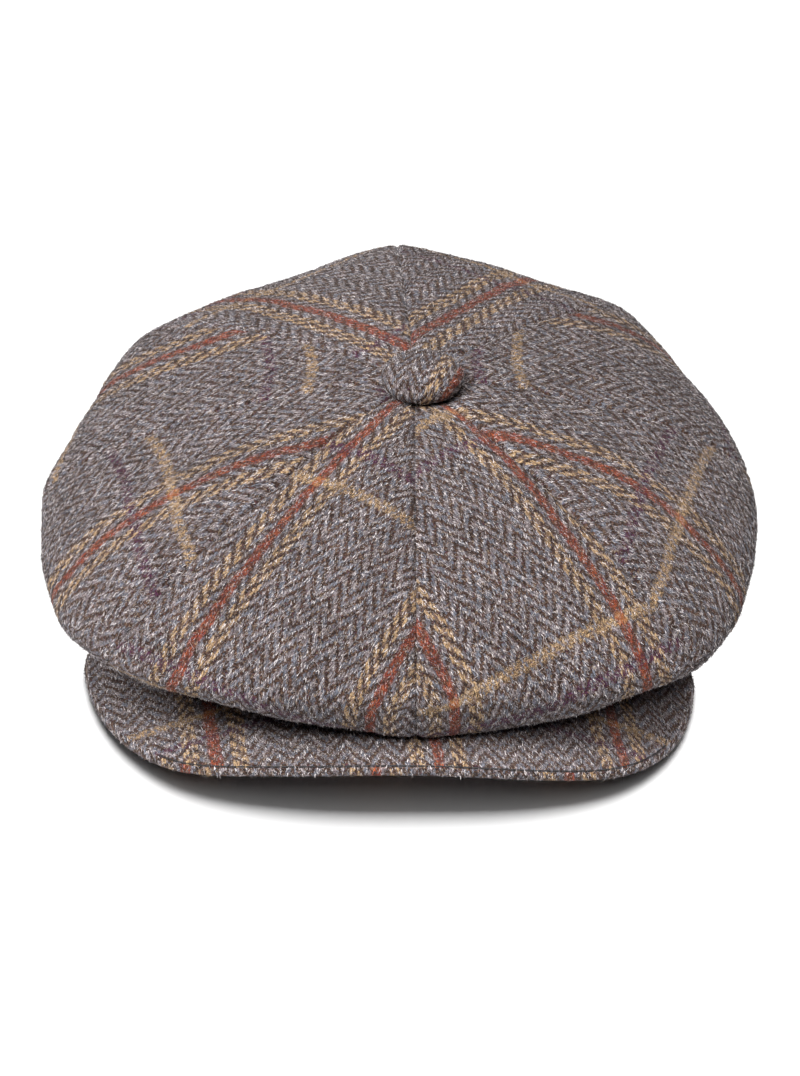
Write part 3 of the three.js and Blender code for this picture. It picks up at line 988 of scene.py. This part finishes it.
def attribute(tree, name):
    node = tree.nodes.new("ShaderNodeAttribute")
    node.attribute_name = name
    return node


s, l, _ = apart(tree, attribute(tree, "cloth").outputs["Vector"])
s, l = s * 1000, l * 1000
tone = Flow(tree, attribute(tree, "tone").outputs["Fac"])
colour, _, warp_up, plain = weave(s, l)
# painted shade and painted highlight: besides their own random tone, low-toned fibres go dark mostly between
# the warp floats and high-toned fibres go pale mostly on the floats
colour = dye(tone.below(0.22, 0.50) * 0.95 * (warp_up * -0.35 + 1), colour, DYES["weft_dark"])
colour = dye(tone.step(0.50, 0.80) * 0.95 * plain * (warp_up * 0.50 + 0.50), colour, DYES["white"])
tree.links.new(colour, shader.inputs["Base Color"])
feed(tree, shader.inputs["Roughness"], tone * 0.2 + 0.75)
print("loose wool uses", len(tree.nodes), "nodes")

# %% [markdown]
# There are two kinds. Down is short and straight and lies nearly flat along the warp, as the fibres of a yarn
# do. Hairs are longer and thinner, bend, and point anywhere. Either is an open cone with three sides, bent by
# moving its upper end sideways. It is instanced on random points of the cloth's outer face, as densely as the
# attribute called nap says, turned to the warp, let stray by a random angle and then leant over. The seed is
# fixed, so every run grows the same nap.

# %% Plant the nap
DOWN = {
    "Fibres per square mm": 1.15, "Length": 1.25 * MM, "Radius": 0.15 * MM, "Joints": 1,
    "Bend": 0.0, "Lean": 1.35, "Stray": 0.5, "Seed": 3,
}
HAIRS = {
    "Fibres per square mm": 0.22, "Length": 2.8 * MM, "Radius": 0.055 * MM, "Joints": 2,
    "Bend": 0.5, "Lean": 1.20, "Stray": 1.6, "Seed": 4,
}
tree, given, result = node_tree("nap", DOWN)
size = {item.name: item for item in given.outputs}


def drawn(kind, low, high, shift):
    """A random number for each fibre."""
    node = add_node(tree, "FunctionNodeRandomValue", {"data_type": kind}, {
        "Seed": worked(tree, "ADD", size["Seed"], shift),
    })
    sockets = [s for s in node.inputs if s.enabled]
    sockets[0].default_value, sockets[1].default_value = low, high
    return next(s for s in node.outputs if s.enabled)


def turned_by(rotation, axis, angle):
    """The rotation, followed by a turn about one of its own axes."""
    turn = add_node(tree, "ShaderNodeCombineXYZ", links={axis: angle})
    euler = add_node(tree, "FunctionNodeEulerToRotation", links={0: turn.outputs[0]})
    return add_node(tree, "FunctionNodeRotateRotation", {"rotation_space": "LOCAL"}, {
        0: rotation, 1: euler.outputs[0],
    }).outputs[0]


cone = add_node(tree, "GeometryNodeMeshCone", {"fill_type": "NONE"}, {
    "Vertices": 3, "Side Segments": size["Joints"], "Radius Top": 0.0,
    "Radius Bottom": size["Radius"], "Depth": size["Length"],
})
spot = add_node(tree, "GeometryNodeInputPosition")
split = add_node(tree, "ShaderNodeSeparateXYZ", links={0: spot.outputs[0]})
share = worked(tree, "DIVIDE", split.outputs["Z"], size["Length"])
pull = worked(tree, "MULTIPLY", worked(tree, "POWER", share, 2.0), size["Bend"])
aside = add_node(tree, "ShaderNodeCombineXYZ", links={"X": worked(tree, "MULTIPLY", pull, size["Length"])})
bent = add_node(tree, "GeometryNodeSetPosition", links={
    "Geometry": cone.outputs["Mesh"], "Offset": aside.outputs[0],
})

napped = add_node(tree, "GeometryNodeInputNamedAttribute", {"data_type": "FLOAT"}, {"Name": "nap"})
per_metre = worked(tree, "MULTIPLY", size["Fibres per square mm"], 1e6)
planted = add_node(tree, "GeometryNodeDistributePointsOnFaces", {"distribute_method": "RANDOM"}, {
    "Mesh": size["Geometry"], "Seed": size["Seed"],
    "Density": worked(tree, "MULTIPLY", per_metre, napped.outputs["Attribute"]),
})
warp = add_node(tree, "GeometryNodeInputNamedAttribute", {"data_type": "FLOAT_VECTOR"}, {"Name": "warp"})
laid = add_node(tree, "FunctionNodeAxesToRotation", {"primary_axis": "Z", "secondary_axis": "X"}, {
    0: planted.outputs["Normal"], 1: next(s for s in warp.outputs if s.enabled),
})
stray = worked(tree, "MULTIPLY", size["Stray"], drawn("FLOAT", -1.0, 1.0, 1))
either_way = worked(tree, "MULTIPLY", drawn("INT", 0, 1, 5), math.pi)
spun = turned_by(laid.outputs[0], "Z", worked(tree, "ADD", stray, either_way))
leant = turned_by(spun, "Y", worked(tree, "MULTIPLY", size["Lean"], drawn("FLOAT", 0.75, 1.15, 2)))
fibres = add_node(tree, "GeometryNodeInstanceOnPoints", links={
    "Points": planted.outputs["Points"], "Instance": bent.outputs[0],
    "Rotation": leant, "Scale": drawn("FLOAT", 0.45, 1.25, 3),
})
toned = add_node(tree, "GeometryNodeStoreNamedAttribute", {"data_type": "FLOAT", "domain": "INSTANCE"}, {
    "Geometry": fibres.outputs[0], "Name": "tone", "Value": drawn("FLOAT", 0.0, 1.0, 4),
})
real = add_node(tree, "GeometryNodeRealizeInstances", links={"Geometry": toned.outputs[0]})
painted = add_node(tree, "GeometryNodeSetMaterial", links={"Geometry": real.outputs[0], "Material": nap_wool})
tree.links.new(painted.outputs[0], result.inputs["Geometry"])

napped_pieces = {**gores, "peak": peak, "top_button": button}
wisps = []
for n, (name, piece) in enumerate(napped_pieces.items()):
    for kind, sizes in (("down_", DOWN), ("hairs_", HAIRS)):
        wisp = grown(kind + name, piece.data.copy(), tree, {**sizes, "Seed": sizes["Seed"] + 10 * n})
        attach(wisp, "root")
        wisps.append(wisp)
        print(wisp.name, len(wisp.data.polygons), "faces")

# %% [markdown]
# The setting is a plain pale floor. The main lamp over it will shine through the crown, so a black disc lies
# on the floor inside the band as a painted shadow, the shade that the crown would cast there. Both belong to
# the stage, not to the cap.

# %% The floor and a painted shadow
floor_paint, tree, shader = new_material("pale_floor", {"Roughness": 0.9, "Specular IOR Level": 0.1})
x, y, _ = apart(tree, tree.nodes.new("ShaderNodeTexCoord").outputs["Object"])
dust = wool(x * 3, y * 3, 1.0)
tree.links.new(dye(dust[0], (0.94, 0.94, 0.94), (0.96, 0.96, 0.96)), shader.inputs["Base Color"])
black = new_material("painted_shadow_black", {"Base Color": (0.004, 0.004, 0.004, 1), "Roughness": 0.9})[0]


def stage_sheet(name, corners, paint):
    mesh = bpy.data.meshes.new(name)
    mesh.from_pydata(corners, [], [list(range(len(corners)))])
    mesh.materials.append(paint)
    return placed(name, mesh)


FLOOR = {"half": 8.0, "z": -0.0004}
floor = stage_sheet("floor", [
    (x * FLOOR["half"], y * FLOOR["half"], FLOOR["z"]) for x, y in ((-1, -1), (1, -1), (1, 1), (-1, 1))
], floor_paint)
# painted shadow: a black disc on the floor inside the band stands in for the shade that the crown would cast
# there
SHADOW_DISC = {"sides": 72, "clear": 1.0, "z": -0.2}
turn = np.linspace(0, 2 * np.pi, SHADOW_DISC["sides"], endpoint=False)
inset = BAND["wall"] + SHADOW_DISC["clear"]
shadow_disc_edge = np.stack([
    (BAND["half_width"] - inset) * np.sin(turn),
    BAND["y"] - (BAND["half_length"] - inset) * np.cos(turn), 0 * turn + SHADOW_DISC["z"],
], -1)
painted_shadow_disc = stage_sheet("painted_shadow_disc", (shadow_disc_edge * MM + HOME).tolist(), black)
print("floor and black card laid")

# %% [markdown]
# A studio lights a white table and the thing on it separately, and light linking does that here. The softbox
# above the viewer's left shoulder makes the left of the crown a little brighter than the right, a wide light
# hangs overhead, and a card throws some light back on the peak below the overhang. The table burns out to
# white. Its main lamp is stopped only by the peak and the band, so the soft dark pool stays under the peak,
# and a weak lamp in front reaches a little way under it.
# A lamp's row says where it stands, its width and length, its power and colour, what it lights, and what
# stops its light where not everything does.

# %% The lamps
LAMP_COLUMNS = ("at", "size", "watts", "colour", "lights", "blocks")
LAMPS = {
    "table": ((0.0, 0.52, 2.2), (1.6, 1.5), 77, (1.0, 1.0, 1.0), "floor", "brim"),
    "room": ((0.0, -1.0, 2.2), (1.6, 1.8), 7, (1.0, 1.0, 1.0), "floor", None),
    "overhead": ((0.0, -0.1, 2.2), (1.9, 1.9), 46, (1.0, 0.962, 0.94), "cap", None),
    "softbox": ((-1.05, -0.85, 1.7), (0.8, 0.8), 57, (1.0, 0.99, 0.98), "cap", None),
    "card": ((0.25, -1.15, 1.45), (0.5, 0.5), 23, (1.0, 0.98, 0.97), "peak", None),
}
MIDDLE = (0, 0, 0.04)
lit = {name: bpy.data.collections.new("lit_" + name) for name in ("cap", "peak", "brim", "floor")}
lit["floor"].objects.link(floor)
for piece in (*gores.values(), button, peak, band, stitches, *wisps):
    lit["cap"].objects.link(piece)
    if "peak" in piece.name:
        lit["peak"].objects.link(piece)
        lit["brim"].objects.link(piece)
lit["brim"].objects.link(band)
for collection in lit.values():
    bpy.context.scene.collection.children.link(collection)
for name, row in LAMPS.items():
    lamp = dict(zip(LAMP_COLUMNS, row))
    data = bpy.data.lights.new(name, "AREA")
    data.shape = "RECTANGLE"
    data.size, data.size_y = lamp["size"]
    data.energy, data.color = lamp["watts"], lamp["colour"]
    light = placed(name, data)
    aimed(light, lamp["at"], MIDDLE)
    light.light_linking.receiver_collection = lit[lamp["lights"]]
    if lamp["blocks"]:
        light.light_linking.blocker_collection = lit[lamp["blocks"]]

world = bpy.data.worlds.new("white_room")
bpy.context.scene.world = world
world.use_nodes = True
background = world.node_tree.nodes["Background"]
background.inputs["Color"].default_value = (1, 1, 1, 1)
background.inputs["Strength"].default_value = 0.03
bpy.context.scene.view_settings.view_transform = "Standard"
print("lamps:", list(LAMPS))
